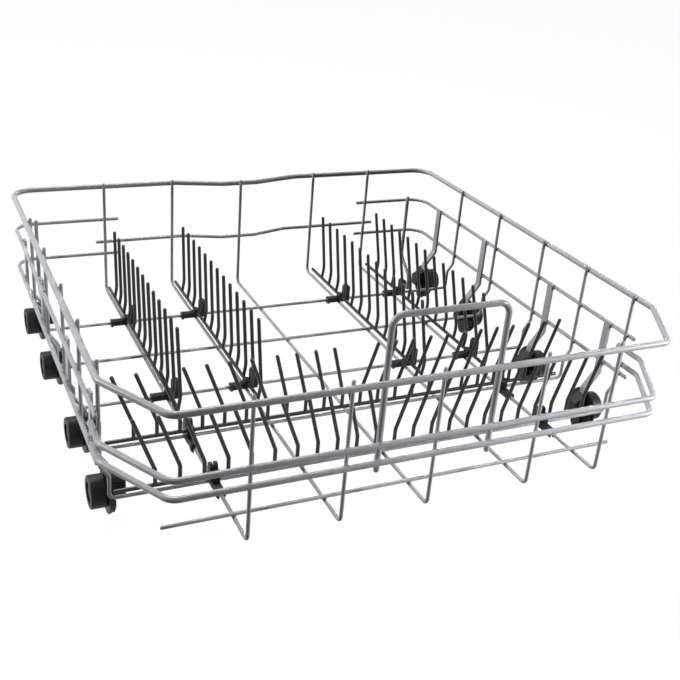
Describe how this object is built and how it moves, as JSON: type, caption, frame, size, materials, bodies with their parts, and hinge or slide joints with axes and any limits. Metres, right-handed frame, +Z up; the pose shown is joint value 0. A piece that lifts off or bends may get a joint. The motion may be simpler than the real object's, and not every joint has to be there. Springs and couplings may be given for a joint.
{
  "type": "dishwasher lower rack",
  "caption": "Coated wire rack for the bottom of a dishwasher, with fold-down rows of plate tines and splayed tines, a front handle and eight plastic wheels.",
  "frame": {"origin": "on the ground, under the middle of the rack's outline, between the lower ends of the wheel straps", "axes": "+X to the right seen from the front, +Y from the handle side to the back, +Z up"},
  "size_m": [0.5056, 0.5024, 0.2066],
  "materials": {
    "frame_coating": "semi-gloss nylon coating on steel wire",
    "tine_coating": "satin dark grey coating on steel wire",
    "wheel_plastic": "satin moulded plastic",
    "carrier_plastic": "satin moulded plastic",
    "clip_plastic": "satin moulded plastic"
  },
  "bodies": {
    "rack": {"rim": "frame_coating", "side_rail_upper_left": "frame_coating", "side_rail_upper_right": "frame_coating", "side_rail_lower_left": "frame_coating", "side_rail_lower_right": "frame_coating", "back_rail": "frame_coating", "front_rail_upper": "frame_coating", "front_rail_lower": "frame_coating", "long_wire_1": "frame_coating", "long_wire_2": "frame_coating", "long_wire_3": "frame_coating", "long_wire_4": "frame_coating", "long_wire_5": "frame_coating", "cross_wire_1": "frame_coating", "cross_wire_2": "frame_coating", "cross_wire_3": "frame_coating", "cross_wire_4": "frame_coating", "cross_wire_5": "frame_coating", "brace_wire": "frame_coating", "back_leg_left": "frame_coating", "back_leg_right": "frame_coating", "handle": "frame_coating", "strap_left_1": "frame_coating", "strap_left_2": "frame_coating", "strap_left_3": "frame_coating", "strap_left_4": "frame_coating", "strap_right_1": "frame_coating", "strap_right_2": "frame_coating", "strap_right_3": "frame_coating", "strap_right_4": "frame_coating", "carrier_left_1": "carrier_plastic", "carrier_left_2": "carrier_plastic", "carrier_left_3": "carrier_plastic", "carrier_left_4": "carrier_plastic", "carrier_right_1": "carrier_plastic", "carrier_right_2": "carrier_plastic", "carrier_right_3": "carrier_plastic", "carrier_right_4": "carrier_plastic", "clips_plate_1": "clip_plastic", "clips_plate_2": "clip_plastic", "clips_plate_3": "clip_plastic", "clips_plate_4": "clip_plastic", "clips_cup_1": "clip_plastic", "clips_cup_2": "clip_plastic"},
    "plate_row_1_body": {"plate_row_1": "tine_coating"},
    "plate_row_2_body": {"plate_row_2": "tine_coating"},
    "plate_row_3_body": {"plate_row_3": "tine_coating"},
    "plate_row_4_body": {"plate_row_4": "tine_coating"},
    "cup_row_1_body": {"cup_row_1": "tine_coating"},
    "cup_row_2_body": {"cup_row_2": "tine_coating"},
    "wheel_left_1_body": {"wheel_left_1": "wheel_plastic"},
    "wheel_left_2_body": {"wheel_left_2": "wheel_plastic"},
    "wheel_left_3_body": {"wheel_left_3": "wheel_plastic"},
    "wheel_left_4_body": {"wheel_left_4": "wheel_plastic"},
    "wheel_right_1_body": {"wheel_right_1": "wheel_plastic"},
    "wheel_right_2_body": {"wheel_right_2": "wheel_plastic"},
    "wheel_right_3_body": {"wheel_right_3": "wheel_plastic"},
    "wheel_right_4_body": {"wheel_right_4": "wheel_plastic"}
  },
  "joints": [
    {"name": "wheel_left_1_spin", "type": "hinge", "parent": "rack", "child": "wheel_left_1_body", "pos_m": [-0.2441, 0.1945, 0.023], "axis": [1, 0, 0], "continuous": true},
    {"name": "wheel_left_2_spin", "type": "hinge", "parent": "rack", "child": "wheel_left_2_body", "pos_m": [-0.2441, 0.0884, 0.023], "axis": [1, 0, 0], "continuous": true},
    {"name": "wheel_left_3_spin", "type": "hinge", "parent": "rack", "child": "wheel_left_3_body", "pos_m": [-0.2441, -0.0425, 0.023], "axis": [1, 0, 0], "continuous": true},
    {"name": "wheel_left_4_spin", "type": "hinge", "parent": "rack", "child": "wheel_left_4_body", "pos_m": [-0.2441, -0.137, 0.023], "axis": [1, 0, 0], "continuous": true},
    {"name": "wheel_right_1_spin", "type": "hinge", "parent": "rack", "child": "wheel_right_1_body", "pos_m": [0.2441, 0.1945, 0.023], "axis": [1, 0, 0], "continuous": true},
    {"name": "wheel_right_2_spin", "type": "hinge", "parent": "rack", "child": "wheel_right_2_body", "pos_m": [0.2441, 0.0884, 0.023], "axis": [1, 0, 0], "continuous": true},
    {"name": "wheel_right_3_spin", "type": "hinge", "parent": "rack", "child": "wheel_right_3_body", "pos_m": [0.2441, -0.0425, 0.023], "axis": [1, 0, 0], "continuous": true},
    {"name": "wheel_right_4_spin", "type": "hinge", "parent": "rack", "child": "wheel_right_4_body", "pos_m": [0.2441, -0.137, 0.023], "axis": [1, 0, 0], "continuous": true},
    {"name": "plate_row_1_fold", "type": "hinge", "parent": "rack", "child": "plate_row_1_body", "pos_m": [-0.1527, 0.09, 0.03645], "axis": [0, -1, 0], "range_deg": [0, 80]},
    {"name": "plate_row_2_fold", "type": "hinge", "parent": "rack", "child": "plate_row_2_body", "pos_m": [-0.0759, 0.09, 0.03645], "axis": [0, -1, 0], "range_deg": [0, 60]},
    {"name": "plate_row_3_fold", "type": "hinge", "parent": "rack", "child": "plate_row_3_body", "pos_m": [0.098, 0.09, 0.03645], "axis": [0, -1, 0], "range_deg": [0, 80]},
    {"name": "plate_row_4_fold", "type": "hinge", "parent": "rack", "child": "plate_row_4_body", "pos_m": [0.1717, 0.09, 0.03645], "axis": [0, -1, 0], "range_deg": [0, 52]},
    {"name": "cup_row_1_fold", "type": "hinge", "parent": "rack", "child": "cup_row_1_body", "pos_m": [0, -0.0926, 0.0384], "axis": [1, 0, 0], "range_deg": [0, 80]},
    {"name": "cup_row_2_fold", "type": "hinge", "parent": "rack", "child": "cup_row_2_body", "pos_m": [0, -0.164, 0.0384], "axis": [1, 0, 0], "range_deg": [0, 80]}
  ]
}
